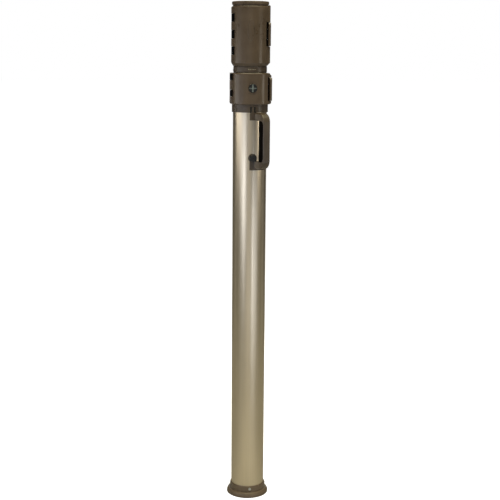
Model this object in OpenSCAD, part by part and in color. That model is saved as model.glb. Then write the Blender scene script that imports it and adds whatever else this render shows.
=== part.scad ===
// Telescopic boom pole, collapsed and standing on its foot.
// Three aluminium tubes slide in each other. A hinged collar with a draw latch grips the middle tube,
// and the tall head above it grips the inner tube the same way.
// Millimetres. +Z runs up the pole, the front is -Y, both latches are on +X and both hinges on -X.
// An azimuth is in degrees from the front, positive towards +X.

/* [Tubes] */
// Outside diameter of the outer tube
outer_d = 60; // [59.5:0.25:60.5]
// Outside diameter of the middle tube
middle_d = 51; // [50.5:0.25:51.25]
// Outside diameter of the inner tube
inner_d = 43; // [42.5:0.25:43.25]
// Wall thickness of the outer tube
outer_wall = 2; // [1.5:0.25:2.25]
// Wall thickness of the middle and inner tubes
slim_wall = 1.5; // [1:0.25:2]

/* [Heights] */
// Height of the collapsed pole
pole_h = 898; // [838:5:958]
// Height of the head
head_h = 110; // [109:0.5:112]
// Height of the neck under the head
neck_h = 11; // [10:0.5:13]
// Height of the lower collar
collar_h = 54.5; // [54:0.5:57]
// Height of the ring that joins the lower collar to the outer tube
ring_h = 13.4; // [12:0.1:15]
// Height of the foot, up to the rim round the tube
foot_h = 20.5; // [20:0.5:24]

/* [Collars] */
// Distance from the pole's axis to each flat side of the lower collar
collar_half = 33.5; // [33:0.25:34]
// Radius of the lower collar's rounded corners
collar_corner_r = 25.5; // [23:0.5:26]
// Radius of the head
head_r = 33; // [32.5:0.25:33.5]
// Gap between the two halves of a collar at rest
split_gap = 1.2; // [0.8:0.1:1.6]

/* [Handle] */
// Azimuth of the handle
handle_az = 18.75; // [17.75:0.25:19.75]
// Distance from the pole's axis to the outside of the grip bar
handle_reach = 64.5; // [62.5:0.5:66]
// Width of the grip bar
handle_w = 13.7; // [12.7:0.1:14]
// Height of the finger opening
handle_open_h = 71; // [68:0.5:76]

/* [Hidden] */
$fn = 72;

// Colours
champagne = [0.72, 0.66, 0.53];
brown = [0.29, 0.25, 0.20];
black = [0.06, 0.055, 0.05];
steel = [0.62, 0.62, 0.60];
rubber = [0.10, 0.095, 0.09];
nylon = [0.82, 0.80, 0.74];

// Radii of the tubes
outer_r = outer_d / 2;
outer_bore = outer_r - outer_wall;
middle_r = middle_d / 2;
middle_bore = middle_r - slim_wall;
inner_r = inner_d / 2;
inner_bore = inner_r - slim_wall;

// Clearances
eps = 0.01;                 // cutters pass a face by this
slide_gap = 0.07;           // radial clearance of a glide
grip_gap = 0.05;            // radial clearance of an open grip pad
pin_gap = 0.06;             // radial clearance of a hinge pin
free_gap = 0.5;             // clearance where parts only pass each other

// Levels, worked out downwards from the top
head_z = pole_h - head_h;
neck_z = head_z - neck_h;
collar_top = neck_z - free_gap;
collar_z = collar_top - collar_h;
ring_z = collar_z - ring_h;
socket_floor = 2.5;
outer_top = collar_z - socket_floor;
middle_top = head_z - socket_floor;
tip_top = pole_h - 1;
tip_flange_z = pole_h - 16;

// Levels, worked out upwards from the floor
pad_h = 3;
foot_z = 0.4;
outer_base = 6.5;
bumper_h = 9;
glide_h = 50;
glide_lip = 2;
glide_stop = 2.5;
guide_h = 60;
stop_gap = 0.3;
middle_base = outer_base + bumper_h + stop_gap + glide_lip;
inner_base = middle_base + stop_gap + glide_lip;

// Foot
foot_r = 38;
foot_band_r = 32.5;
foot_rim_r = outer_r + 1.7;
foot_skirt_r = 9;
foot_screw_z = 15.6;
foot_screw_seat = foot_rim_r + 0.5;

// Ring, neck and screws
ring_r = outer_r + 1.8;
neck_r = 29.6;
screw_azimuths = [-150, -60, 120];
neck_screw_azimuths = [110, 180, 250];
neck_screw_rise = 4.2;
ring_screw_rise = 4.8;
foot_screw_r = 2.5;
ring_screw_r = 3.3;
neck_screw_r = 2.5;
screw_shank_r = 1.5;
screw_proud = 0.9;

// Hinges: R is the barrel radius, and the black knuckles are listed by the height of their centres
barrel_r = 3.4;
leaf_barrel_r = 3.2;
hinge_pin_r = 1.5;
leaf_t = 2.2;
leaf_seat_y = 13;
leaf_inner_y = 4.6;
leaf_screw_y = 8.8;
leaf_screw_r = 1.1;
leaf_screw_depth = 6;
lower_hinge_x = -collar_half + 0.7;
upper_hinge_x = -head_r + 2.7;
knuckle_pitch = 28;
lower_knuckle_h = 10.6;
upper_knuckle_h = 13.6;
lower_knuckles = [for (i = [0 : 1]) collar_z + 19.3 + i * knuckle_pitch];
upper_knuckles = [for (i = [0 : 2]) head_z + 26.4 + i * knuckle_pitch];

// Latches: the lever turns on two stub pins at latch_y, and a link pulls the rear half's keeper
latch_y = -3.5;
lever_h = 40;
lever_t = 3.4;
lever_tip_y = -21;
lever_knuckle_r = 3;
lever_pin_r = 1.5;
link_h = 16;
link_slot = link_h + 1.2;
link_t = 1.8;
link_pin_r = 1.2;
link_offset = 7;
link_over_centre = 0.4;
hook_y = 11.4;
hook_r = 1.5;
hook_h = 25;
keeper_y = [5, 8.5];
keeper_rise = 1.1;
pocket_gap = 0.6;
lower_latch_x = 33.3;
lower_pocket_x = 27.9;
lower_boss_x = 36.1;
upper_latch_x = 30.3;
upper_pocket_x = 24.6;
upper_boss_x = 33.4;
boss_half_y = 15;
lower_latch_z = collar_z + 26.5;
upper_latch_z = head_z + 54.5;

// Grip pads
pad_t = 1.6;
pad_span = 74;
pad_end = 7;

// Tension adjuster on the front of the lower jaw
adjuster_z = collar_z + 28.5;
adjuster_r = 7.5;
adjuster_well = 3;
adjuster_shank_r = 2.5;
adjuster_bezel_t = 1;
adjuster_cross = [3, 2];
adjuster_cross_reach = 6.6;

// Handle
handle_arm_h = 13;
handle_foot_h = 12;
handle_top = ring_z - 0.2;
handle_open_z = handle_top - handle_arm_h - handle_open_h;
handle_bottom = handle_open_z - handle_foot_h;
handle_corner_r = 15.5;
handle_fillet_r = 7.5;
handle_edge_r = 2;
handle_skin = 1.5;
grip_inner = handle_reach - 18.4;
saddle_t = 2.8;
saddle_span = [-27.4, 25];
foot_span = [-27.4, 28];
tongue_az = 1;
shim_t = 0.6;
tongue_w = 5;
tongue_slot_w = 9.6;
tongue_h = 9.4;
knob_offsets = [-17.6, 21];
knob_z = handle_open_z + 5.2;
knob_r = 7;
knob_t = 6;

// Tip
thread_r = 4.76;
thread_depth = 16;
tip_boss_r = 12.5;
tip_washer_t = 1.4;

// ---------- Shared shapes ----------

// Points along an arc, with angles measured as in a plan
function arc(centre, r, from, to, steps) =
    [for (i = [0 : steps]) let (a = from + (to - from) * i / steps) centre + r * [cos(a), sin(a)]];

// Hollow cylinder between two levels
module sleeve(z0, z1, r_out, r_in) {
    translate([0, 0, z0]) difference() {
        cylinder(r = r_out, h = z1 - z0);
        translate([0, 0, -1]) cylinder(r = r_in, h = z1 - z0 + 2);
    }
}

// Solid cylinder that stands on a point of the plan
module post(at, z0, z1, r) {
    translate([at[0], at[1], z0]) cylinder(r = r, h = z1 - z0);
}

// Box given by its lowest and highest corners
module block(low, high) {
    translate(low) cube(high - low);
}

// Wedge of the space round the axis, between two azimuths less than 170 degrees apart
module wedge(from, to, z0, z1) {
    translate([0, 0, z0]) linear_extrude(z1 - z0)
        polygon(concat([[0, 0]], arc([0, 0], 120, from - 90, to - 90, 4)));
}

// Cylinder that points away from the axis at an azimuth
module spoke(azimuth, z, r, from, to) {
    rotate([0, 0, azimuth]) translate([0, -from, z]) rotate([90, 0, 0]) cylinder(r = r, h = to - from);
}

// Screw with a cross recess whose head stands on a surface at radius seat and whose shank reaches in to tip
module radial_screw(azimuth, z, head_r, seat, tip) {
    recess = 0.9;
    difference() {
        union() {
            spoke(azimuth, z, screw_shank_r, tip, seat + eps);
            spoke(azimuth, z, head_r, seat, seat + screw_proud * 0.6);
            spoke(azimuth, z, head_r - 0.5, seat, seat + screw_proud);
        }
        for (turn = [0, 90])
            rotate([0, 0, azimuth]) translate([0, -seat - screw_proud, z]) rotate([0, turn, 0])
                cube([recess, 2 * screw_proud * 0.7, 1.25 * head_r], center = true);
    }
}

// Cutter for such a screw: its hole, and a flat seat for its head
module screw_hole(azimuth, z, head_r, seat) {
    spoke(azimuth, z, screw_shank_r + 0.1, inner_bore, seat + 1);
    spoke(azimuth, z, head_r + 0.2, seat, seat + 8);
}

// ---------- Foot and tubes ----------

module outer_tube() {
    color(champagne) difference() {
        sleeve(outer_base, outer_top, outer_r, outer_bore);
        for (i = [0 : 3]) screw_hole(90 * i, foot_screw_z, foot_screw_r, foot_screw_seat);
        for (a = screw_azimuths) screw_hole(a, ring_z + ring_screw_rise, ring_screw_r, ring_r - 0.1);
        for (a = knob_offsets) screw_hole(handle_az + a, knob_z, knob_r, outer_r + saddle_t);
    }
}

module foot_cap() {
    skirt_c = [foot_r - foot_skirt_r, foot_z + 1.8];
    color(brown) difference() {
        rotate_extrude() polygon(concat(
            [[0, foot_z], [foot_r - 0.5, foot_z], [foot_r, foot_z + 0.5]],
            arc(skirt_c, foot_skirt_r, 0, 50, 8),
            [[foot_band_r - 0.4, 9.9], [foot_band_r - 0.4, 10.6], [foot_band_r, 11]],
            [[foot_rim_r + 0.1, foot_h - 1], [foot_rim_r - 0.4, foot_h], [0, foot_h]]
        ));
        translate([0, 0, outer_base]) cylinder(r = outer_r, h = foot_h);
        translate([0, 0, -1]) cylinder(r = foot_r - 2.3, h = pad_h + 1);
        for (i = [0 : 3]) screw_hole(90 * i, foot_screw_z, foot_screw_r, foot_screw_seat);
    }
}

module foot_pad() {
    color(rubber) difference() {
        cylinder(r = foot_r - 2.4, h = pad_h);
        for (r = [20, 26, 32]) translate([0, 0, -1]) difference() {
            cylinder(r = r + 0.8, h = 1.9);
            translate([0, 0, -1]) cylinder(r = r - 0.8, h = 4);
        }
    }
}

module foot_screws() {
    color(steel) for (i = [0 : 3]) 
        radial_screw(90 * i, foot_screw_z, foot_screw_r, foot_screw_seat, outer_bore + 0.3);
}

module base_bumper() {
    color(rubber) translate([0, 0, outer_base]) difference() {
        cylinder(r = outer_bore - 0.2, h = bumper_h);
        translate([0, 0, -1]) cylinder(r = 12, h = bumper_h + 2);
    }
}

// Bush pressed in the mouth of a tube, in which the next tube slides
module guide(top, bore, tube_r) {
    color(nylon) sleeve(top - guide_h, top, bore, tube_r + slide_gap);
}

// Sleeve on the lower end of a sliding tube, with a lip under the tube that the next stage rests on
module glide(base, tube_r, tube_bore, bore) {
    color(nylon) union() {
        sleeve(base, base + glide_h, bore - slide_gap, tube_r);
        sleeve(base - glide_lip, base, bore - slide_gap, tube_bore - glide_stop);
    }
}

module outer_guide() { guide(outer_top, outer_bore, middle_r); }

module middle_tube() {
    color(champagne) difference() {
        sleeve(middle_base, middle_top, middle_r, middle_bore);
        for (a = neck_screw_azimuths)
            screw_hole(a, neck_z + neck_screw_rise, neck_screw_r, neck_r - 0.1);
    }
}

module middle_glide() { glide(middle_base, middle_r, middle_bore, outer_bore); }

module middle_guide() { guide(middle_top, middle_bore, inner_r); }

module inner_tube() {
    color(champagne) sleeve(inner_base, tip_flange_z, inner_r, inner_bore);
}

module inner_glide() { glide(inner_base, inner_r, inner_bore, middle_bore); }

module tip_fitting() {
    color(steel) difference() {
        union() {
            post([0, 0], tip_flange_z - 22, tip_flange_z + eps, inner_bore);
            post([0, 0], tip_flange_z, tip_flange_z + 6, inner_r);
            post([0, 0], tip_flange_z + 5, tip_top - tip_washer_t, tip_boss_r);
        }
        post([0, 0], tip_top - tip_washer_t - thread_depth, pole_h, thread_r);
        for (i = [0 : 11])
            rotate([0, 0, 30 * i]) post([tip_boss_r + 0.9, 0], tip_flange_z + 6.5, pole_h, 1.6);
    }
}

module tip_washer() {
    color(rubber) sleeve(tip_top - tip_washer_t, tip_top, tip_boss_r - 1.5, thread_r + 1);
}

// ---------- Collars ----------

// Upright outline from the axis out to r, with rounded outer edges
function slab_side(r, h, edge) = concat(
    [[0, 0]], arc([r - edge, edge], edge, -90, 0, 5), arc([r - edge, h - edge], edge, 0, 90, 5), [[0, h]]);

// Solid outside form of the lower collar: square in plan, with large rounded corners
module collar_form() {
    edge = 1.8;
    c = collar_half - collar_corner_r;
    translate([0, 0, collar_z]) {
        for (x = [-c, c], y = [-c, c])
            translate([x, y, 0]) rotate_extrude() polygon(slab_side(collar_corner_r, collar_h, edge));
        for (turn = [0, 90, 180, 270])
            rotate([90, 0, turn]) linear_extrude(2 * c, center = true)
                polygon(slab_side(collar_half, collar_h, edge));
    }
    latch_boss(collar_z + 0.8, collar_top - 0.3, lower_boss_x, 2.2, 4.6);
}

// Solid outside form of the head, which tapers to the neck
module head_form() {
    shoulder = head_h - 8.2;
    lid_z = head_h - 5;
    lid_r = head_r - 0.7;
    edge = 1.5;
    translate([0, 0, head_z]) rotate_extrude() polygon(concat(
        [[0, 0], [neck_r, 0], [head_r - 0.4, 4.6], [head_r, 5.4]],
        arc([head_r - edge, shoulder - edge], edge, 0, 60, 4),
        [[lid_r - 1.5, shoulder + 0.2], [lid_r - 1.5, lid_z - 0.6], [lid_r, lid_z]],
        arc([lid_r - edge, head_h - edge], edge, 0, 90, 5),
        [[0, head_h]]
    ));
    latch_boss(head_z + 2.4, head_z + head_h - 6.4, upper_boss_x, 4.2, 1.6);
}

// Raised rib along the latch side, chamfered at its outer ends
module latch_boss(z0, z1, x, low_chamfer, high_chamfer) {
    intersection() {
        rotate([90, 0, 0]) linear_extrude(2 * boss_half_y, center = true) polygon([
            [20, z0], [x - low_chamfer, z0], [x, z0 + low_chamfer],
            [x, z1 - high_chamfer], [x - high_chamfer, z1], [20, z1]
        ]);
        translate([0, 0, z0 - 1]) linear_extrude(z1 - z0 + 2) {
            square([2 * (x - 4), 2 * boss_half_y], center = true);
            square([2 * x, 2 * (boss_half_y - 4)], center = true);
            for (side = [-1, 1]) translate([x - 4, side * (boss_half_y - 4)]) circle(r = 4);
        }
    }
}

// The front or rear half of the space, apart from the split gap
module half(side, z0, z1) {
    y0 = side > 0 ? split_gap / 2 : -60;
    block([-60, y0, z0], [60, y0 + 60 - split_gap / 2, z1]);
}

// Bore of a collar, wider where the grip pads sit
module collar_bore(z0, z1, tube_r) {
    post([0, 0], z0 - 1, z1 + 1, tube_r + free_gap);
    post([0, 0], z0 + pad_end, z1 - pad_end, tube_r + pad_t);
}

// Pad that lines one half of a collar
module grip_pad(side, z0, z1, tube_r) {
    middle = side > 0 ? 180 : 0;
    color(rubber) intersection() {
        sleeve(z0 + pad_end, z1 - pad_end, tube_r + pad_t, tube_r + grip_gap);
        wedge(middle - pad_span, middle + pad_span, z0, z1);
    }
}

// Front half of a collar with its hinge knuckles. children() is the solid outside form.
module jaw(z0, z1, tube_r, hinge_x, knuckles, knuckle_h, barrel, latch_x, pocket_x, latch_z) {
    lever_space = lever_h / 2 + pocket_gap;
    color(brown) difference() {
        union() {
            intersection() {
                children();
                half(-1, z0 + 0.4, z1);
            }
            post([hinge_x, 0], barrel[0] + 2.5, barrel[1], barrel_r);
            translate([hinge_x, 0, barrel[0]]) cylinder(r1 = barrel_r - 1.5, r2 = barrel_r, h = 2.5);
            block([hinge_x, -7, barrel[0]], [hinge_x + 6, -split_gap / 2, barrel[1]]);
        }
        collar_bore(z0, z1, tube_r);
        block([pocket_x, -60, latch_z - lever_space], [60, 5, latch_z + lever_space]);
        for (z = knuckles) {
            low = z - knuckle_h / 2 - 0.4;
            high = z + knuckle_h / 2 + 0.4;
            block([-60, -60, low], [hinge_x + 1.4, 10, high]);
            post([hinge_x, 0], low, high, leaf_barrel_r + 0.4);
        }
        post([hinge_x, 0], z0 - 1, z1 + 1, hinge_pin_r + pin_gap);
        post(
            [latch_x, latch_y],
            latch_z - lever_space - 4, latch_z + lever_space + 4, lever_pin_r + pin_gap);
    }
}

// Rear half of a collar: the fixed one, with the keeper lugs and the seat of the hinge leaf
module fixed_half(z0, z1, tube_r, hinge_x, knuckles, leaf, latch_x, pocket_x, latch_z) {
    seat_x = hinge_x + leaf_t - 0.2;
    difference() {
        union() {
            intersection() {
                children();
                half(1, z0, z1);
            }
            block([seat_x, split_gap / 2, leaf[0]], [seat_x + 8, leaf_seat_y + 1, leaf[1]]);
        }
        collar_bore(z0, z1, tube_r);
        block([-60, -1, leaf[0] - 0.2], [seat_x, leaf_seat_y, leaf[1] + 0.2]);
        post([hinge_x, 0], z0 - 1, z1 + 1, barrel_r + 0.4);
        block([pocket_x, -1, latch_z - hook_h / 2 - 1.5], [60, hook_y + 5, latch_z + hook_h / 2 + 1.5]);
        leaf_screw_holes(hinge_x, knuckles);
    }
    lug_h = hook_h / 2 + 1.6 - link_slot / 2;
    for (z = [latch_z + link_slot / 2, latch_z - link_slot / 2 - lug_h])
        block([pocket_x - 1.5, keeper_y[0], z], [latch_x + keeper_rise, keeper_y[1], z + lug_h]);
}

// Black steel leaf with the knuckles of the fixed half
module hinge_leaf(hinge_x, knuckles, knuckle_h, leaf) {
    outer_x = hinge_x - 0.2;
    color(black) difference() {
        union() {
            block([outer_x, leaf_inner_y, leaf[0]], [outer_x + leaf_t, leaf_seat_y, leaf[1]]);
            for (z = knuckles) {
                post([hinge_x, 0], z - knuckle_h / 2, z + knuckle_h / 2, leaf_barrel_r);
                block(
                    [outer_x, 0, z - knuckle_h / 2],
                    [outer_x + leaf_t, leaf_inner_y + 1, z + knuckle_h / 2]);
            }
        }
        post([hinge_x, 0], leaf[0] - 1, leaf[1] + 1, hinge_pin_r + pin_gap / 2);
        leaf_screw_holes(hinge_x, knuckles);
    }
}

// Holes for the screws that hold the leaf on its half of the collar
module leaf_screw_holes(hinge_x, heights) {
    for (z = heights) translate([hinge_x - 1, leaf_screw_y, z]) rotate([0, 90, 0])
        cylinder(r = leaf_screw_r + 0.1, h = leaf_screw_depth + 1.2);
}

module hinge_screws(hinge_x, heights) {
    color(black) for (z = heights) translate([hinge_x - 0.2, leaf_screw_y, z]) rotate([0, -90, 0])
        difference() {
            union() {
                cylinder(r = 2.4, h = 0.8);
                translate([0, 0, -leaf_screw_depth]) cylinder(r = leaf_screw_r, h = leaf_screw_depth + eps);
            }
            translate([0, 0, 0.8]) cube([0.7, 3.4, 0.9], center = true);
        }
}

module hinge_pin(hinge_x, z0, z1) {
    color(steel) post([hinge_x, 0], z0, z1, hinge_pin_r);
}

// ---------- Latches ----------

module lever_pins(latch_x, latch_z) {
    inner = link_slot / 2 + 0.6;
    outer = lever_h / 2 + pocket_gap + 3.4;
    color(steel) {
        post([latch_x, latch_y], latch_z + inner, latch_z + outer, lever_pin_r);
        post([latch_x, latch_y], latch_z - outer, latch_z - inner, lever_pin_r);
    }
}

module lever(latch_x, latch_z) {
    corner = 5;
    slot_y = latch_y - link_offset - 4.4;
    color(brown) difference() {
        intersection() {
            translate([0, 0, latch_z - lever_h / 2]) linear_extrude(lever_h) {
                translate([latch_x, latch_y]) circle(r = lever_knuckle_r);
                translate([latch_x - lever_t / 2, lever_tip_y + 2.6])
                    square([lever_t, latch_y - lever_tip_y - 2.6]);
                translate([latch_x - lever_t / 2 + 2.3, lever_tip_y + 2.6]) circle(r = 2.3);
            }
            translate([latch_x - 10, 0, latch_z]) rotate([90, 0, 90]) linear_extrude(20) {
                translate([lever_tip_y, -lever_h / 2 + corner]) square([30, lever_h - 2 * corner]);
                translate([lever_tip_y + corner, -lever_h / 2]) square([30, lever_h]);
                for (side = [-1, 1])
                    translate([lever_tip_y + corner, side * (lever_h / 2 - corner)]) circle(r = corner);
            }
        }
        block([latch_x - 8, slot_y, latch_z - link_slot / 2], [latch_x + 8, 10, latch_z + link_slot / 2]);
        post([latch_x, latch_y], latch_z - lever_h, latch_z + lever_h, lever_pin_r + pin_gap);
        post([latch_x - link_over_centre, latch_y - link_offset], latch_z - 15, latch_z + 15, link_pin_r);
    }
}

module link_pin(latch_x, latch_z) {
    color(steel)
        post([latch_x - link_over_centre, latch_y - link_offset], latch_z - 15, latch_z + 15, link_pin_r);
}

// Draw link: an eye on the lever's pin, a strap, and a cross bar behind the keeper
module link(latch_x, latch_z) {
    eye = [latch_x - link_over_centre, latch_y - link_offset];
    color(steel) difference() {
        union() {
            post(eye, latch_z - link_h / 2, latch_z + link_h / 2, link_pin_r + 1.1);
            block([latch_x - link_t / 2 - link_over_centre / 2, eye[1], latch_z - link_h / 2],
                  [latch_x + link_t / 2 - link_over_centre / 2, hook_y, latch_z + link_h / 2]);
            post([latch_x, hook_y], latch_z - hook_h / 2, latch_z + hook_h / 2, hook_r);
        }
        post(eye, latch_z - link_h, latch_z + link_h, link_pin_r + pin_gap);
        block([latch_x - 5, eye[1] + 6, latch_z - 4], [latch_x + 5, hook_y - 4, latch_z + 4]);
    }
}

// ---------- Lower collar ----------

lower_leaf = [lower_knuckles[0] - lower_knuckle_h / 2, lower_knuckles[1] + lower_knuckle_h / 2];

module lower_collar() {
    color(brown) difference() {
        union() {
            sleeve(ring_z, outer_top, ring_r, outer_r);
            sleeve(outer_top, collar_z + eps, ring_r, middle_r + free_gap);
            fixed_half(collar_z, collar_top, middle_r, lower_hinge_x, lower_knuckles, lower_leaf,
                       lower_latch_x, lower_pocket_x, lower_latch_z)
                collar_form();
        }
        for (a = screw_azimuths) screw_hole(a, ring_z + ring_screw_rise, ring_screw_r, ring_r - 0.1);
        rotate([0, 0, tongue_az]) translate([0, -ring_r, ring_z - 1 + tongue_h / 2])
            cube([tongue_slot_w, 20, tongue_h + 3], center = true);
    }
}

module collar_screws() {
    color(steel) for (a = screw_azimuths)
        radial_screw(a, ring_z + ring_screw_rise, ring_screw_r, ring_r - 0.1, outer_bore + 0.3);
}

module lower_rear_pad() { grip_pad(1, collar_z, collar_top, middle_r); }

module lower_hinge_leaf() { hinge_leaf(lower_hinge_x, lower_knuckles, lower_knuckle_h, lower_leaf); }

module lower_hinge_screws() { hinge_screws(lower_hinge_x, lower_knuckles); }

module lower_hinge_pin() { hinge_pin(lower_hinge_x, collar_z + 1.4, collar_top - 0.4); }

module lower_jaw() {
    difference() {
        jaw(collar_z, collar_top, middle_r, lower_hinge_x, lower_knuckles, lower_knuckle_h,
            [collar_z + 0.8, collar_top], lower_latch_x, lower_pocket_x, lower_latch_z)
            collar_form();
        spoke(0, adjuster_z, adjuster_r + 0.3, collar_half - adjuster_well, collar_half + 5);
        spoke(0, adjuster_z, adjuster_shank_r + 0.1, middle_r, collar_half);
    }
}

module lower_front_pad() { grip_pad(-1, collar_z, collar_top, middle_r); }

module lower_lever_pins() { lever_pins(lower_latch_x, lower_latch_z); }

module lower_lever() { lever(lower_latch_x, lower_latch_z); }

module lower_link_pin() { link_pin(lower_latch_x, lower_latch_z); }

module lower_link() { link(lower_latch_x, lower_latch_z); }

// Screw that preloads the front grip pad. Its metal face shows through the cross in its black bezel.
module adjuster_screw() {
    color(steel) union() {
        spoke(0, adjuster_z, adjuster_r, collar_half - adjuster_well + 0.2, collar_half - 0.4);
        spoke(0, adjuster_z, adjuster_shank_r, middle_r + pad_t + 0.1, collar_half - adjuster_well + 0.3);
    }
}

module adjuster_bezel() {
    reach = adjuster_cross_reach;
    half = adjuster_cross / 2;
    color(black) difference() {
        union() {
            spoke(0, adjuster_z, adjuster_r, collar_half - 0.4, collar_half - 0.7 + adjuster_bezel_t);
            spoke(0, adjuster_z, adjuster_r - 0.4, collar_half - 0.4, collar_half - 0.4 + adjuster_bezel_t);
        }
        block([-half[0], -60, adjuster_z - reach], [half[0], 0, adjuster_z + reach]);
        block([-reach, -60, adjuster_z - half[1]], [reach, 0, adjuster_z + half[1]]);
    }
}

// ---------- Head ----------

upper_leaf = [upper_knuckles[0] - upper_knuckle_h / 2, upper_knuckles[2] + upper_knuckle_h / 2];

module upper_collar() {
    color(brown) difference() {
        union() {
            sleeve(neck_z, middle_top, neck_r, middle_r);
            sleeve(middle_top, head_z + eps, neck_r, inner_r + free_gap);
            fixed_half(head_z, pole_h, inner_r, upper_hinge_x, upper_knuckles, upper_leaf,
                       upper_latch_x, upper_pocket_x, upper_latch_z)
                head_form();
        }
        for (a = neck_screw_azimuths)
            screw_hole(a, neck_z + neck_screw_rise, neck_screw_r, neck_r - 0.1);
        for (z = [neck_z + 0.6, neck_z + neck_h - 1.2]) translate([0, 0, z]) rotate_extrude()
            translate([neck_r, 0]) circle(r = 0.5, $fn = 16);
    }
}

module neck_screws() {
    color(steel) for (a = neck_screw_azimuths)
        radial_screw(a, neck_z + neck_screw_rise, neck_screw_r, neck_r - 0.1, middle_bore + 0.3);
}

module upper_rear_pad() { grip_pad(1, head_z, pole_h - 7, inner_r); }

module upper_hinge_leaf() { hinge_leaf(upper_hinge_x, upper_knuckles, upper_knuckle_h, upper_leaf); }

module upper_hinge_screws() { hinge_screws(upper_hinge_x, upper_knuckles); }

module upper_hinge_pin() { hinge_pin(upper_hinge_x, head_z + 5, head_z + head_h - 11); }

module upper_jaw() {
    jaw(head_z, pole_h, inner_r, upper_hinge_x, upper_knuckles, upper_knuckle_h,
        [head_z + 4, head_z + head_h - 10], upper_latch_x, upper_pocket_x, upper_latch_z)
        head_form();
}

module upper_front_pad() { grip_pad(-1, head_z, pole_h - 7, inner_r); }

module upper_lever_pins() { lever_pins(upper_latch_x, upper_latch_z); }

module upper_lever() { lever(upper_latch_x, upper_latch_z); }

module upper_link_pin() { link_pin(upper_latch_x, upper_latch_z); }

module upper_link() { link(upper_latch_x, upper_latch_z); }

// ---------- Handle ----------

// Outline of the handle in its own upright plane: x is the distance from the pole's axis, y is the height
module handle_side(reach) {
    corner = handle_corner_r - (handle_reach - reach);
    low = handle_bottom + (handle_reach - reach);
    high = handle_top - (handle_reach - reach);
    translate([20, low]) square([reach - 20 - corner, high - low]);
    translate([20, low + corner]) square([reach - 20, high - low - 2 * corner]);
    for (z = [low + corner, high - corner]) translate([reach - corner, z]) circle(r = corner);
}

// Finger opening of the handle, with rounded inner corners, out to a reach
module handle_opening(reach) {
    r = handle_fillet_r;
    top = handle_open_z + handle_open_h;
    translate([20, handle_open_z]) square([reach - 20 - r, handle_open_h]);
    translate([20, handle_open_z + r]) square([reach - 20, handle_open_h - 2 * r]);
    for (z = [handle_open_z + r, top - r]) translate([reach - r, z]) circle(r = r);
}

// Stands children drawn on the flat up in the handle's plane
module in_handle_plane() {
    rotate([0, 0, handle_az - 90]) rotate([90, 0, 0]) children();
}

// Turns a side outline into a plate of the given width in the handle's plane
module handle_plate(width) {
    in_handle_plane() linear_extrude(width, center = true) children();
}

// Section through the handle from a corner's centre line outwards, with rounded outside edges
module handle_section(depth, width) {
    r = handle_edge_r;
    translate([0, -width / 2]) square([depth - r, width]);
    translate([0, r - width / 2]) square([depth, width - 2 * r]);
    for (y = [r - width / 2, width / 2 - r]) translate([depth - r, y]) circle(r = r);
}

// Bar and arms of the handle, without the finger opening
module handle_envelope() {
    corner = handle_corner_r;
    half = (handle_top - handle_bottom) / 2;
    in_handle_plane() translate([0, handle_top - half, 0]) for (side = [0, 1]) mirror([0, side, 0]) {
        translate([0, half - corner, 0]) rotate([90, 0, 90]) linear_extrude(handle_reach - corner)
            handle_section(corner, handle_w);
        translate([handle_reach - corner, half - corner, 0]) {
            rotate_extrude(angle = 90) handle_section(corner, handle_w);
            rotate([90, 0, 0]) linear_extrude(half - corner) handle_section(corner, handle_w);
        }
    }
}

// Curved pad on the tube, between two azimuths measured from the handle's plane
module saddle(z0, z1, from, to) {
    intersection() {
        sleeve(z0, z1, outer_r + saddle_t, outer_r);
        wedge(handle_az + from, handle_az + to, z0, z1);
    }
}

// Outline of the handle's tongue, slightly narrower at its top
module tongue_side() {
    half = tongue_w / 2;
    polygon([[-half, -4], [half, -4], [half - 0.8, tongue_h], [0.8 - half, tongue_h]]);
}

module handle_frame() {
    web_w = 5;
    color(brown) difference() {
        union() {
            difference() {
                handle_envelope();
                handle_plate(handle_w + 2) handle_opening(handle_reach - handle_skin);
            }
            difference() {
                handle_plate(web_w) handle_side(handle_reach - 1);
                handle_plate(web_w + 2) handle_opening(grip_inner + 3);
            }
            saddle(handle_top - handle_arm_h, handle_top - 0.4, saddle_span[0], saddle_span[1]);
            saddle(handle_bottom - 4, handle_open_z, foot_span[0], foot_span[1]);
            for (a = knob_offsets) intersection() {
                sleeve(knob_z - 10, knob_z + 10, outer_r + saddle_t, outer_r);
                spoke(handle_az + a, knob_z, knob_r + 0.6, outer_r - 5, outer_r + 5);
            }
            intersection() {
                rotate([0, 0, tongue_az]) translate([0, 0, handle_top]) rotate([90, 0, 0]) linear_extrude(60)
                    tongue_side();
                sleeve(handle_top - 4, ring_z + tongue_h, outer_r + saddle_t, outer_r + shim_t);
            }
        }
        translate([0, 0, handle_bottom - 5]) cylinder(r = outer_r, h = handle_top - handle_bottom + 24);
        for (a = knob_offsets) spoke(handle_az + a, knob_z, screw_shank_r + 0.1, outer_bore, outer_r + 6);
    }
}

// Space of the notch in the collar's ring, down to a level and out to a radius
module tongue_recess(z0, r) {
    intersection() {
        sleeve(z0, ring_z + tongue_h + 0.5, r, outer_r);
        rotate([0, 0, tongue_az])
            block([-tongue_slot_w / 2, -60, z0], [tongue_slot_w / 2, 0, ring_z + tongue_h + 1]);
    }
}

// Thin black shim between the handle's tongue and the tube, which shows in the slots beside the tongue.
// It is cut away round the handle's upper arm.
module handle_shim() {
    color(rubber) difference() {
        tongue_recess(handle_top - 0.3, outer_r + shim_t);
        handle_plate(handle_w + 0.1) translate([20, handle_top - 5]) square([20, 5.05]);
    }
}

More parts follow.
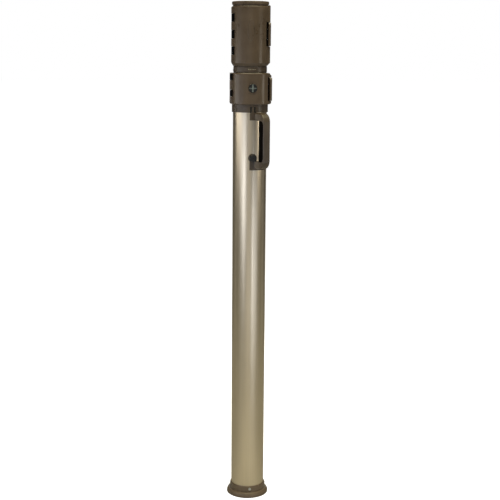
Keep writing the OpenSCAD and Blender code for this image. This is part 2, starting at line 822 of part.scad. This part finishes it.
// Soft grip moulded round the web of the bar, with shallow finger ribs
module handle_grip() {
    web_w = 5;
    top = handle_open_z + handle_open_h;
    color(rubber) difference() {
        intersection() {
            handle_plate(handle_w - 0.2) handle_opening(handle_reach - handle_skin);
            in_handle_plane() translate([handle_reach, top + 1, 0]) rotate([90, 0, 0])
                linear_extrude(handle_open_h + 2) mirror([1, 0])
                    handle_section(handle_reach - grip_inner, handle_w - 0.2);
        }
        difference() {
            handle_plate(web_w) handle_side(handle_reach - 1);
            handle_plate(web_w + 2) handle_opening(grip_inner + 3);
        }
        for (i = [1 : 7]) handle_plate(handle_w + 4)
            translate([grip_inner, handle_open_z + i * (top - handle_open_z) / 8]) circle(r = 1.1, $fn = 24);
    }
}

// Lobed knob on a screw that clamps the lower foot of the handle to the tube
module handle_knobs() {
    seat = outer_r + saddle_t;
    lobes = 6;
    color(black) for (a = knob_offsets) difference() {
        union() {
            spoke(handle_az + a, knob_z, knob_r - 1.4, seat, seat + knob_t);
            spoke(handle_az + a, knob_z, screw_shank_r, outer_bore + 0.3, seat + eps);
            rotate([0, 0, handle_az + a]) for (i = [0 : lobes - 1])
                translate([0, -seat - 0.6, knob_z]) rotate([90, i * 360 / lobes + 30, 0])
                    translate([knob_r - 2.2, 0, 0]) cylinder(r = 2.2, h = knob_t - 1.8);
        }
        spoke(handle_az + a, knob_z, 2.4, seat + knob_t - 1.2, seat + knob_t + 1);
    }
}

outer_tube();
foot_cap();
foot_pad();
foot_screws();
base_bumper();
outer_guide();
lower_collar();
collar_screws();
lower_rear_pad();
lower_hinge_leaf();
lower_hinge_screws();
lower_hinge_pin();
handle_frame();
handle_shim();
handle_grip();
handle_knobs();
lower_jaw();
lower_front_pad();
lower_lever_pins();
lower_lever();
lower_link_pin();
lower_link();
adjuster_screw();
adjuster_bezel();
middle_tube();
middle_glide();
middle_guide();
upper_collar();
neck_screws();
upper_rear_pad();
upper_hinge_leaf();
upper_hinge_screws();
upper_hinge_pin();
upper_jaw();
upper_front_pad();
upper_lever_pins();
upper_lever();
upper_link_pin();
upper_link();
inner_tube();
inner_glide();
tip_fitting();
tip_washer();
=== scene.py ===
import math

import bmesh
import bpy
from mathutils import Matrix, Vector


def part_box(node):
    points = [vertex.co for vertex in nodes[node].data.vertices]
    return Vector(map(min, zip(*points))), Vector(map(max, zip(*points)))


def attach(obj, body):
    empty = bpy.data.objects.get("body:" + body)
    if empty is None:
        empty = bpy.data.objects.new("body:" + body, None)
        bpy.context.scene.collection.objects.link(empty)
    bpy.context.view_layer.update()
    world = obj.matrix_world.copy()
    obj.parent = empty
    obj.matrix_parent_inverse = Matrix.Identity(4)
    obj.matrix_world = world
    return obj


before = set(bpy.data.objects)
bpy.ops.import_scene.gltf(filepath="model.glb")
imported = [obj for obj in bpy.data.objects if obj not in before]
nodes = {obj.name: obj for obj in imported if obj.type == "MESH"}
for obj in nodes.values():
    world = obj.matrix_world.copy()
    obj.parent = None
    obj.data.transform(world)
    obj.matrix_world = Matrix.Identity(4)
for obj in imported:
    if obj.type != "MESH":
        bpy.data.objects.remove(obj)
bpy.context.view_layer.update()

MM = 0.001
scene = bpy.context.scene


# ---------- Node helpers ----------

class Nodes:
    """Short calls for building one material's node tree."""

    def __init__(self, name):
        self.material = bpy.data.materials.new(name)
        self.material.use_nodes = True
        self.tree = self.material.node_tree
        self.tree.nodes.clear()
        self.coords = self.add("ShaderNodeTexCoord").outputs["Object"]

    def add(self, kind, **inputs):
        node = self.tree.nodes.new(kind)
        for key, value in inputs.items():
            self.set(node, key, value)
        return node

    def set(self, node, key, value):
        by_index = key[0] == "i" and key[1:].isdigit()
        socket = node.inputs[int(key[1:]) if by_index else key.replace("_", " ")]
        if isinstance(value, bpy.types.NodeSocket):
            self.tree.links.new(value, socket)
        else:
            socket.default_value = value

    def math(self, operation, a, b=0.0, c=0.0, clamp=False):
        node = self.add("ShaderNodeMath", i0=a, i1=b, i2=c)
        node.operation = operation
        node.use_clamp = clamp
        return node.outputs[0]

    def mapped(self, scale=(1, 1, 1), offset=(0, 0, 0)):
        return self.add("ShaderNodeMapping", Vector=self.coords, Scale=scale, Location=offset).outputs[0]

    def noise(self, scale, detail=3.0, roughness=0.5, vector=None):
        node = self.add("ShaderNodeTexNoise", Vector=vector or self.coords,
                        Scale=scale, Detail=detail, Roughness=roughness)
        return node.outputs["Fac"]

    def voronoi(self, scale, vector=None):
        node = self.add("ShaderNodeTexVoronoi", Vector=vector or self.coords, Scale=scale)
        return node.outputs["Distance"]

    def remap(self, value, low, high, to_low, to_high):
        node = self.add("ShaderNodeMapRange", Value=value, From_Min=low, From_Max=high,
                        To_Min=to_low, To_Max=to_high)
        return node.outputs[0]

    def mix(self, factor, a, b):
        node = self.tree.nodes.new("ShaderNodeMix")
        node.data_type = "RGBA"
        for socket, value in ((node.inputs[0], factor), (node.inputs[6], a), (node.inputs[7], b)):
            if isinstance(value, bpy.types.NodeSocket):
                self.tree.links.new(value, socket)
            else:
                socket.default_value = (*value, 1.0) if isinstance(value, tuple) else value
        return node.outputs[2]

    def edges(self, radius, low=0.02, high=0.25):
        """1 along convex and concave edges, 0 on open faces."""
        round_normal = self.add("ShaderNodeBevel", Radius=radius).outputs[0]
        flat = self.add("ShaderNodeNewGeometry").outputs["Normal"]
        dot = self.add("ShaderNodeVectorMath", i0=round_normal, i1=flat)
        dot.operation = "DOT_PRODUCT"
        away = self.math("SUBTRACT", 1.0, dot.outputs["Value"])
        return self.remap(away, low, high, 0.0, 1.0)

    def painted_crevice_shade(self, reach):
        """Painted shade: rises towards 0.8 deep in gaps and corners, 0 on open faces."""
        node = self.add("ShaderNodeAmbientOcclusion", Distance=reach)
        node.samples = 4
        return self.remap(node.outputs["AO"], 0.15, 0.7, 0.8, 0.0)

    def bump(self, height, strength, distance, radius=0.0):
        node = self.add("ShaderNodeBump", Height=height, Strength=strength, Distance=distance)
        if radius:
            self.set(node, "Normal", self.add("ShaderNodeBevel", Radius=radius).outputs[0])
        return node.outputs[0]

    def finish(self, **principled):
        shader = self.add("ShaderNodeBsdfPrincipled")
        for key, value in principled.items():
            self.set(shader, key, value)
        out = self.add("ShaderNodeOutputMaterial")
        self.tree.links.new(shader.outputs[0], out.inputs["Surface"])
        return self.material


def srgb(r, g, b):
    """Linear colour from display values of 0 to 255."""
    shares = [c / 255 for c in (r, g, b)]
    return tuple(c / 12.92 if c <= 0.04045 else ((c + 0.055) / 1.055) ** 2.4 for c in shares)


# ---------- Materials ----------

def anodised(name, colour, rough):
    """Champagne anodised extrusion: lines along the tube, a fine satin etch, and slight clouding."""
    n = Nodes(name)
    lines = n.noise(520.0, 4.0, 0.65, n.mapped((1, 1, 0.012)))
    etch = n.noise(3200.0, 2.0, 0.5)
    cloud = n.noise(9.0, 4.0, 0.55, n.mapped((1, 1, 0.35)))
    scuff = n.noise(150.0, 6.0, 0.7, n.mapped((1, 1, 0.16), (3.1, 0.4, 0.0)))
    tone = n.math("MULTIPLY_ADD", cloud, 0.6, n.math("MULTIPLY", lines, 0.4))
    low = tuple(c * 0.93 for c in colour)
    high = tuple(min(1.0, c * 1.05) for c in colour)
    base = n.mix(n.remap(tone, 0.35, 0.65, 0.0, 1.0), low, high)
    base = n.mix(n.remap(scuff, 0.62, 0.78, 0.0, 0.22), base, tuple(c * 0.8 for c in colour))
    worn = n.edges(0.0005)
    base = n.mix(n.math("MULTIPLY", worn, 0.6), base, (0.82, 0.80, 0.76))
    roughness = n.math("ADD", n.remap(lines, 0.3, 0.7, rough - 0.04, rough + 0.04),
                       n.remap(scuff, 0.55, 0.8, 0.0, 0.10))
    height = n.math("ADD", n.math("MULTIPLY", lines, 0.7), n.math("MULTIPLY", etch, 0.3))
    return n.finish(Base_Color=base, Metallic=1.0, Roughness=roughness,
                    Normal=n.bump(height, 0.10, 0.00006, 0.0004))


def moulded(name, colour, light, rough=0.42, grain=1500.0, strength=0.22, radius=0.0007):
    """Moulded plastic: spark-eroded grain, faint clouding, painted shade in crevices and paler rubbed
    edges.
    """
    n = Nodes(name)
    cells = n.voronoi(grain)
    fine = n.noise(grain * 2.2, 2.0, 0.6)
    cloud = n.noise(28.0, 5.0, 0.6)
    dust = n.noise(420.0, 5.0, 0.75)
    low = tuple(c * 0.86 for c in colour)
    high = tuple(c * 1.14 for c in colour)
    base = n.mix(n.remap(cloud, 0.34, 0.66, 0.0, 1.0), low, high)
    base = n.mix(n.remap(dust, 0.58, 0.75, 0.0, 0.25), base, light)
    worn = n.math("MULTIPLY", n.edges(radius * 1.3),
                  n.remap(n.noise(160.0, 5.0, 0.7), 0.35, 0.62, 0.25, 1.0))
    base = n.mix(n.math("MULTIPLY", worn, 0.4), base, light)
    # Painted shade: the colour darkens towards a third of itself in gaps and corners.
    base = n.mix(n.painted_crevice_shade(0.006), base, tuple(c * 0.3 for c in colour))
    roughness = n.math("ADD", n.remap(cloud, 0.3, 0.7, rough - 0.05, rough + 0.06),
                       n.math("MULTIPLY", worn, -0.06))
    height = n.math("ADD", n.math("MULTIPLY", cells, 0.6), n.math("MULTIPLY", fine, 0.4))
    return n.finish(Base_Color=base, Metallic=0.0, Roughness=roughness, Specular_IOR_Level=0.5,
                    Normal=n.bump(height, strength, 0.00012, radius))


def soft_rubber(name, colour, dusty, rough=0.72, gloss=0.4, sheen=0.12):
    """Matt rubber: fine pores, cloudy dusty bloom and paler rubbed edges."""
    n = Nodes(name)
    pores = n.voronoi(2100.0)
    fine = n.noise(1300.0, 3.0, 0.6)
    bloom = n.noise(55.0, 6.0, 0.65)
    base = n.mix(n.remap(bloom, 0.38, 0.68, 0.0, 0.55), colour, dusty)
    base = n.mix(n.math("MULTIPLY", n.edges(0.0006), 0.35), base, dusty)
    height = n.math("ADD", n.math("MULTIPLY", pores, 0.7), n.math("MULTIPLY", fine, 0.3))
    return n.finish(Base_Color=base, Roughness=n.remap(bloom, 0.3, 0.7, rough, rough + 0.14),
                    Specular_IOR_Level=gloss, Sheen_Weight=sheen, Sheen_Roughness=0.5,
                    Normal=n.bump(height, 0.35, 0.00015, 0.0004))


def turned_steel(name, colour, rough, grain=(1, 1, 0.06)):
    """Bright steel: fine machining lines and smudges."""
    n = Nodes(name)
    lines = n.noise(1900.0, 3.0, 0.6, n.mapped(grain))
    smudge = n.noise(120.0, 5.0, 0.65)
    base = n.mix(n.remap(smudge, 0.35, 0.7, 0.0, 1.0), colour, tuple(c * 0.8 for c in colour))
    roughness = n.math("ADD", n.remap(lines, 0.3, 0.7, rough - 0.06, rough + 0.08),
                       n.remap(smudge, 0.4, 0.7, 0.0, 0.08))
    return n.finish(Base_Color=base, Metallic=1.0, Roughness=roughness,
                    Normal=n.bump(lines, 0.18, 0.00006, 0.0003))


def waxy(name, colour, rough=0.38):
    """Off-white acetal: nearly even, slightly translucent, with turning marks."""
    n = Nodes(name)
    rings = n.noise(900.0, 3.0, 0.5, n.mapped((0.05, 0.05, 1)))
    cloud = n.noise(35.0, 4.0, 0.6)
    base = n.mix(n.remap(cloud, 0.35, 0.65, 0.0, 1.0), colour, tuple(c * 0.88 for c in colour))
    return n.finish(Base_Color=base, Roughness=n.remap(cloud, 0.3, 0.7, rough, rough + 0.1),
                    Subsurface_Weight=0.08, Subsurface_Radius=(0.002, 0.0016, 0.0012),
                    Normal=n.bump(rings, 0.2, 0.00008, 0.0003))


def coated(name, colour, worn_colour, rough=0.4):
    """Black coated steel: orange peel and bright worn corners."""
    n = Nodes(name)
    peel = n.noise(900.0, 3.0, 0.5)
    cloud = n.noise(60.0, 5.0, 0.6)
    worn = n.math("MULTIPLY", n.edges(0.0005), n.remap(n.noise(260.0, 5.0, 0.7), 0.42, 0.6, 0.0, 1.0))
    base = n.mix(n.remap(cloud, 0.35, 0.65, 0.0, 1.0), colour, tuple(c * 1.5 for c in colour))
    base = n.mix(n.math("MULTIPLY", worn, 0.7), base, worn_colour)
    return n.finish(Base_Color=base, Metallic=n.math("MULTIPLY", worn, 0.7),
                    Roughness=n.remap(cloud, 0.3, 0.7, rough - 0.04, rough + 0.1),
                    Specular_IOR_Level=0.12,
                    Normal=n.bump(peel, 0.2, 0.0001, 0.0004))


TUBE = anodised("champagne_anodised", (0.66, 0.565, 0.425), 0.33)
TUBE_HIDDEN = anodised("champagne_anodised_inner", (0.62, 0.555, 0.445), 0.30)
BROWN = moulded("brown_moulding", srgb(92, 77, 61), srgb(130, 114, 96), rough=0.30, strength=0.16)
# Darker copy of the brown moulding: painted shade on the ring and neck below the jaws, and on the badge.
BROWN_SHADED = moulded("brown_painted_shade", srgb(82, 69, 55), srgb(118, 103, 86), rough=0.36, strength=0.18)
BROWN_HANDLE = moulded("brown_handle", srgb(80, 68, 55), srgb(124, 110, 94), rough=0.32,
                       grain=1300.0, strength=0.16)
BROWN_FOOT = moulded("brown_foot", srgb(102, 86, 67), srgb(134, 118, 97), rough=0.42,
                     grain=1100.0, strength=0.25)
BLACK = moulded("black_moulding", srgb(22, 21, 20), srgb(70, 68, 64), rough=0.45,
                grain=1700.0, radius=0.0005)
RUBBER = soft_rubber("black_rubber", srgb(26, 25, 24), srgb(58, 56, 53))
GRIP = soft_rubber("hand_grip_rubber", srgb(9, 7, 6), srgb(20, 16, 14), 0.80, gloss=0.04, sheen=0.0)
STEEL = turned_steel("bright_steel", (0.62, 0.61, 0.58), 0.30)
STEEL_PINS = turned_steel("pin_steel", (0.55, 0.54, 0.52), 0.26, (1, 1, 0.5))
CROSS = turned_steel("adjuster_face", srgb(158, 166, 156), 0.50, (1, 0.05, 1))
NYLON = waxy("acetal", srgb(226, 220, 204))
HINGE = coated("black_coated_steel", (0.004, 0.004, 0.004), (0.10, 0.095, 0.09), rough=0.6)
SCREW_DARK = turned_steel("browned_screw", (0.20, 0.17, 0.14), 0.34)
BLACKENED = turned_steel("blackened_steel", (0.05, 0.047, 0.043), 0.5)
CREAM = moulded("cream_mark", srgb(214, 205, 178), srgb(236, 230, 208), rough=0.5,
                grain=1900.0, radius=0.0002)
TICK = moulded("tick_mark", srgb(58, 45, 36), srgb(86, 70, 58), rough=0.5,
               grain=1900.0, radius=0.0002)

finishes = {
    "outer_tube": TUBE, "middle_tube": TUBE_HIDDEN, "inner_tube": TUBE_HIDDEN,
    # The ring and neck take the darker copy of the brown: painted shade.
    "foot_cap": BROWN_FOOT, "lower_collar": BROWN_SHADED, "upper_collar": BROWN_SHADED,
    "lower_jaw": BROWN, "upper_jaw": BROWN, "lower_lever": BROWN, "upper_lever": BROWN,
    "handle_frame": BROWN_HANDLE, "handle_grip": GRIP, "handle_knobs": BLACK, "handle_shim": RUBBER,
    "lower_hinge_leaf": HINGE, "upper_hinge_leaf": HINGE,
    "lower_hinge_screws": HINGE, "upper_hinge_screws": HINGE,
    "adjuster_bezel": BLACK, "adjuster_screw": CROSS,
    "foot_pad": RUBBER, "base_bumper": RUBBER, "tip_washer": RUBBER,
    "lower_rear_pad": RUBBER, "lower_front_pad": RUBBER,
    "upper_rear_pad": RUBBER, "upper_front_pad": RUBBER,
    "outer_guide": NYLON, "middle_guide": NYLON, "middle_glide": NYLON, "inner_glide": NYLON,
    "foot_screws": STEEL, "collar_screws": SCREW_DARK, "neck_screws": STEEL,
    "lower_hinge_pin": STEEL_PINS, "upper_hinge_pin": STEEL_PINS,
    "lower_lever_pins": STEEL_PINS, "upper_lever_pins": STEEL_PINS,
    "lower_link_pin": STEEL_PINS, "upper_link_pin": STEEL_PINS,
    "lower_link": BLACKENED, "upper_link": BLACKENED, "tip_fitting": STEEL,
}
for name, obj in nodes.items():
    material = finishes[name]
    if not obj.data.materials:
        obj.data.materials.append(material)
    for i in range(len(obj.material_slots)):
        obj.material_slots[i].material = material

# The handle is hidden from glossy rays, which leaves its dark streak out of the tube's reflections.
for name in ("handle_frame", "handle_grip"):
    nodes[name].visible_glossy = False


# ---------- Pieces ----------

def new_object(name, bm, material, body):
    mesh = bpy.data.meshes.new(name)
    bmesh.ops.recalc_face_normals(bm, faces=bm.faces)
    bm.to_mesh(mesh)
    bm.free()
    for polygon in mesh.polygons:
        polygon.use_smooth = True
    obj = bpy.data.objects.new(name, mesh)
    scene.collection.objects.link(obj)
    mesh.materials.append(material)
    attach(obj, body)
    return obj


def dome(bm, matrix, radius, rise, rings=4, segments=20):
    """Low domed button standing on the local XY plane."""
    loops = []
    for k in range(rings + 1):
        a = math.pi / 2 * k / rings
        r, z = radius * math.cos(a), rise * math.sin(a)
        if k == rings:
            loops.append([bm.verts.new(matrix @ Vector((0, 0, z)))])
        else:
            loops.append([bm.verts.new(matrix @ Vector((r * math.cos(2 * math.pi * i / segments),
                                                        r * math.sin(2 * math.pi * i / segments), z)))
                          for i in range(segments)])
    for k in range(rings):
        for i in range(segments):
            j = (i + 1) % segments
            if k == rings - 1:
                bm.faces.new((loops[k][i], loops[k][j], loops[rings][0]))
            else:
                bm.faces.new((loops[k][i], loops[k][j], loops[k + 1][j], loops[k + 1][i]))
    bm.faces.new(list(reversed(loops[0])))


def on_surface(azimuth, radius, z):
    """Local frame on the pole's surface: local Z points outwards and local Y points up."""
    a = math.radians(azimuth)
    out = Vector((math.sin(a), -math.cos(a), 0.0))
    up = Vector((0.0, 0.0, 1.0))
    side = up.cross(out)
    m = Matrix((side, up, out)).transposed().to_4x4()
    m.translation = out * radius + up * z
    return m


# Row of cream index dots low on the neck
DOT_COUNT = 5
DOT_FIRST_AZIMUTH = -13
DOT_STEP = 5.5
DOT_RADIUS = 0.62 * MM
DOT_RISE = 0.28 * MM
DOT_SEAT = 29.55 * MM      # how far from the pole's axis the dots stand
DOT_HEIGHT = 5.6 * MM      # above the neck's lower edge

# Small marks in two arcs round the adjuster
TICKS_PER_SIDE = 7
TICK_STEP = 13             # degrees
TICK_CIRCLE = 10.2 * MM    # radius of the arcs
TICK_HALF_WIDTH = 0.28 * MM
TICK_HALF_LENGTH = 0.9 * MM
TICK_HALF_LENGTH_MIDDLE = 1.5 * MM
TICK_LAYERS = ((-0.1 * MM, 1.0), (0.16 * MM, 1.0), (0.26 * MM, 0.6))    # lift and scale

# Blank oval frame, raised on the front of the head
BADGE_AZIMUTH = -6.5
BADGE_DROP = 49 * MM       # centre below the head's top
BADGE_HALF_WIDTH = 6.2
BADGE_HALF_HEIGHT = 18.0
BADGE_STEPS = 64
# inset from the outline and lift off the head, in mm, round the frame's section
BADGE_SECTION = ((0.0, -0.10), (0.15, 0.09), (0.55, 0.13), (0.95, 0.09), (1.10, -0.10))


def index_dots():
    neck_low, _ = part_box("upper_collar")
    bm = bmesh.new()
    for i in range(DOT_COUNT):
        seat = on_surface(DOT_FIRST_AZIMUTH + DOT_STEP * i, DOT_SEAT, neck_low[2] + DOT_HEIGHT)
        dome(bm, seat, DOT_RADIUS, DOT_RISE)
    return new_object("index_dots", bm, CREAM, "middle_stage")


def tick(bm, centre, angle, half_length):
    """Low mark at an angle round the adjuster, tapered towards its face."""
    out = Vector((math.cos(angle), 0, math.sin(angle)))
    across = Vector((-math.sin(angle), 0, math.cos(angle)))
    forward = Vector((0, -1, 0))
    middle = centre + TICK_CIRCLE * out
    rings = []
    for lift, scale in TICK_LAYERS:
        rings.append([bm.verts.new(middle + forward * lift + out * u * half_length * scale
                                   + across * v * TICK_HALF_WIDTH * scale)
                      for u, v in ((-1, -1), (1, -1), (1, 1), (-1, 1))])
    for lower, upper in zip(rings, rings[1:]):
        for k in range(4):
            bm.faces.new((lower[k], lower[(k + 1) % 4], upper[(k + 1) % 4], upper[k]))
    bm.faces.new(rings[0])
    bm.faces.new(rings[-1])


def adjuster_ticks():
    bezel_low, bezel_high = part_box("adjuster_bezel")
    jaw_low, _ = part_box("lower_jaw")
    centre = Vector((0, jaw_low[1], (bezel_low[2] + bezel_high[2]) / 2))
    half = TICKS_PER_SIDE // 2
    bm = bmesh.new()
    for side in (-1, 1):
        for i in range(TICKS_PER_SIDE):
            angle = math.radians(90 * side + (i - half) * TICK_STEP)
            tick(bm, centre, angle, TICK_HALF_LENGTH_MIDDLE if i == half else TICK_HALF_LENGTH)
    return new_object("adjuster_ticks", bm, TICK, "collar_jaw")


def blank_badge():
    head_low, head_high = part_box("upper_jaw")
    head_r = -head_low[1]
    centre_z = head_high[2] - BADGE_DROP
    bm = bmesh.new()
    loops = []
    for inset, lift in BADGE_SECTION:
        loop = []
        for i in range(BADGE_STEPS):
            t = 2 * math.pi * i / BADGE_STEPS
            x = (BADGE_HALF_WIDTH - inset) * MM * math.cos(t)
            z = (BADGE_HALF_HEIGHT - inset) * MM * math.sin(t)
            azimuth = BADGE_AZIMUTH + math.degrees(x / head_r)
            loop.append(bm.verts.new(on_surface(azimuth, head_r + lift * MM, centre_z + z).translation))
        loops.append(loop)
    for inner, outer in zip(loops, loops[1:] + loops[:1]):
        for i in range(BADGE_STEPS):
            j = (i + 1) % BADGE_STEPS
            bm.faces.new((inner[i], inner[j], outer[j], outer[i]))
    # The frame takes the darker copy of the brown: painted shade.
    return new_object("blank_badge", bm, BROWN_SHADED, "head_jaw")


index_dots()
adjuster_ticks()
blank_badge()


# ---------- Floor, light and camera ----------

CAMERA_AZIMUTH = -8.5
CAMERA_DISTANCE = 1.874
CAMERA_HEIGHT = 0.808
CAMERA_PITCH = 10.5
CAMERA_PAN = 0.065
CAMERA_ROLL = 0.43
SENSOR_WIDTH = 36.0
LENS_PER_WIDTH = 2.11      # focal length over sensor width

FLOOR_REACH = 30
PAINTED_POOL_DISTANCE = 0.28      # painted pool of light on the floor in front of the pole, seen by other rays only
PAINTED_POOL_INNER = 0.08
PAINTED_POOL_OUTER = 0.42

TOP_BOX_SIDE = 1.6
TOP_BOX_BRIGHTNESS = 6.3
TOP_BOX_PLACE = (0.1, -0.5, 2.6)

COOL = (0.92, 1.0, 1.18)
NEUTRAL = (1.0, 1.0, 1.0)
WARM = (1.0, 0.96, 0.66)
SOFT = (1.0, 0.94, 0.82)


def by_ray(tree, for_camera, for_others, output):
    """Show the camera one shader and give every other ray another. Only the stage uses it."""
    path = tree.nodes.new("ShaderNodeLightPath")
    pick = tree.nodes.new("ShaderNodeMixShader")
    out = tree.nodes.new(output)
    tree.links.new(path.outputs["Is Camera Ray"], pick.inputs[0])
    tree.links.new(for_others.outputs[0], pick.inputs[1])
    tree.links.new(for_camera.outputs[0], pick.inputs[2])
    tree.links.new(pick.outputs[0], out.inputs["Surface"])


def floor():
    """Pale floor. It looks nearly white, and lights the pole as a darker one with a painted pool of light
    in front of it.
    """
    bm = bmesh.new()
    corners = [bm.verts.new((x * FLOOR_REACH, y * FLOOR_REACH, 0))
               for x, y in ((-1, -1), (1, -1), (1, 1), (-1, 1))]
    bm.faces.new(corners)
    mesh = bpy.data.meshes.new("floor")
    bm.to_mesh(mesh)
    bm.free()
    n = Nodes("floor")
    grain = n.noise(35.0, 4.0, 0.5)
    pale = n.mix(n.remap(grain, 0.3, 0.7, 0.0, 1.0), (0.80, 0.80, 0.80), (0.83, 0.83, 0.83))
    seen = n.add("ShaderNodeAddShader")
    n.tree.links.new(n.add("ShaderNodeBsdfDiffuse", Color=pale).outputs[0], seen.inputs[0])
    glow = n.add("ShaderNodeEmission", Color=(1, 1, 1, 1), Strength=0.96)
    n.tree.links.new(glow.outputs[0], seen.inputs[1])
    # Painted pool of light: other rays see a brighter floor near the pole's front.
    a = math.radians(CAMERA_AZIMUTH)
    painted_pool_centre = (PAINTED_POOL_DISTANCE * math.sin(a), -PAINTED_POOL_DISTANCE * math.cos(a), 0.0)
    away = n.add("ShaderNodeVectorMath", i0=n.coords, i1=painted_pool_centre)
    away.operation = "DISTANCE"
    painted_pool_fade = n.remap(away.outputs["Value"], PAINTED_POOL_INNER, PAINTED_POOL_OUTER, 0.0, 1.0)
    floor_with_painted_pool = n.mix(painted_pool_fade, (0.64, 0.63, 0.60), (0.42, 0.41, 0.39))
    by_ray(n.tree, seen, n.add("ShaderNodeBsdfDiffuse", Color=floor_with_painted_pool), "ShaderNodeOutputMaterial")
    mesh.materials.append(n.material)
    obj = bpy.data.objects.new("floor", mesh)
    scene.collection.objects.link(obj)


def studio_world():
    """White to the camera, and a faint warm fill to everything else."""
    world = bpy.data.worlds.new("studio")
    scene.world = world
    world.use_nodes = True
    tree = world.node_tree
    tree.nodes.clear()
    fill = tree.nodes.new("ShaderNodeBackground")
    fill.inputs[0].default_value = (1.0, 0.97, 0.88, 1)
    fill.inputs[1].default_value = 0.07
    backdrop = tree.nodes.new("ShaderNodeBackground")
    backdrop.inputs[0].default_value = (1, 1, 1, 1)
    backdrop.inputs[1].default_value = 1.0
    by_ray(tree, backdrop, fill, "ShaderNodeOutputWorld")


floor()
studio_world()

scene.view_settings.view_transform = "Standard"
scene.view_settings.look = "None"
scene.view_settings.exposure = 0.0
scene.view_settings.gamma = 1.0


def soft_box(name, azimuth, width, low, high, brightness, colour=NEUTRAL, distance=1.2):
    """Upright soft box that faces the pole, azimuth in degrees from the camera, positive to its right."""
    a = math.radians(CAMERA_AZIMUTH + azimuth)
    light = bpy.data.lights.new(name, "AREA")
    light.shape = "RECTANGLE"
    light.size = width
    light.size_y = high - low
    light.energy = math.pi * width * (high - low) * brightness
    light.color = colour
    obj = bpy.data.objects.new(name, light)
    scene.collection.objects.link(obj)
    where = Vector((math.sin(a) * distance, -math.cos(a) * distance, (low + high) / 2))
    obj.location = where
    obj.rotation_euler = Vector((-where.x, -where.y, 0)).to_track_quat("-Z", "Y").to_euler()
    obj.visible_camera = False


def top_box():
    light = bpy.data.lights.new("top_box", "AREA")
    light.shape = "SQUARE"
    light.size = TOP_BOX_SIDE
    light.energy = math.pi * TOP_BOX_SIDE * TOP_BOX_SIDE * TOP_BOX_BRIGHTNESS
    light.color = WARM
    obj = bpy.data.objects.new("top_box", light)
    scene.collection.objects.link(obj)
    obj.location = TOP_BOX_PLACE
    obj.visible_camera = False


# name, azimuth, width, lowest and highest point in metres, brightness, colour
soft_box("key_box", -36, 0.56, 0.42, 0.60, 3.5, COOL)
soft_box("key_box_low", -36, 0.56, 0.25, 0.42, 1.9, COOL)
soft_box("key_box_side", -58, 0.26, 0.42, 0.60, 1.7, COOL)
soft_box("left_box_high", -73, 0.78, 0.60, 0.78, 3.1)
soft_box("left_strip", -96, 0.16, 0.66, 0.79, 5.0, SOFT)
soft_box("right_box", 27, 0.26, 0.02, 0.42, 2.7, COOL)
soft_box("right_box_wide", 45, 0.55, 0.02, 0.44, 0.9, COOL)
soft_box("right_box_high", 66, 0.18, 0.58, 0.81, 8.0, SOFT)
soft_box("front_fill", -2, 0.62, 0.02, 0.25, 0.8)
soft_box("front_fill_high", -2, 0.62, 0.25, 1.00, 0.4)
soft_box("rim_left", -106, 0.26, 0.02, 0.78, 0.3)
soft_box("rim_right", 109, 0.26, 0.02, 0.78, 0.3)
soft_box("back_fill", 180, 1.20, 0.10, 1.30, 0.7)
soft_box("upper_left", -48, 0.50, 1.30, 2.35, 1.0)
soft_box("upper_right", 52, 0.30, 1.30, 2.35, 1.0)
soft_box("upper_back", 180, 1.20, 1.40, 2.35, 0.6)

top_box()


def photo_camera():
    camera = bpy.data.cameras.new("camera")
    camera.sensor_width = SENSOR_WIDTH
    camera.lens = SENSOR_WIDTH * LENS_PER_WIDTH
    camera.dof.use_dof = False
    obj = bpy.data.objects.new("camera", camera)
    scene.collection.objects.link(obj)
    a = math.radians(CAMERA_AZIMUTH)
    pan = math.radians(CAMERA_PAN)
    pitch = math.radians(CAMERA_PITCH)
    up_axis = Vector((0, 0, 1))
    level = (Vector((-math.sin(a), math.cos(a), 0)) * math.cos(pan)
             + Vector((math.cos(a), math.sin(a), 0)) * math.sin(pan))
    forward = level * math.cos(pitch) - up_axis * math.sin(pitch)
    right = level.cross(up_axis)
    up = right.cross(forward)
    roll = Matrix.Rotation(math.radians(CAMERA_ROLL), 4, "Z")
    place = Matrix((right, up, -forward)).transposed().to_4x4() @ roll
    place.translation = (math.sin(a) * CAMERA_DISTANCE, -math.cos(a) * CAMERA_DISTANCE, CAMERA_HEIGHT)
    obj.matrix_world = place
    scene.camera = obj


photo_camera()
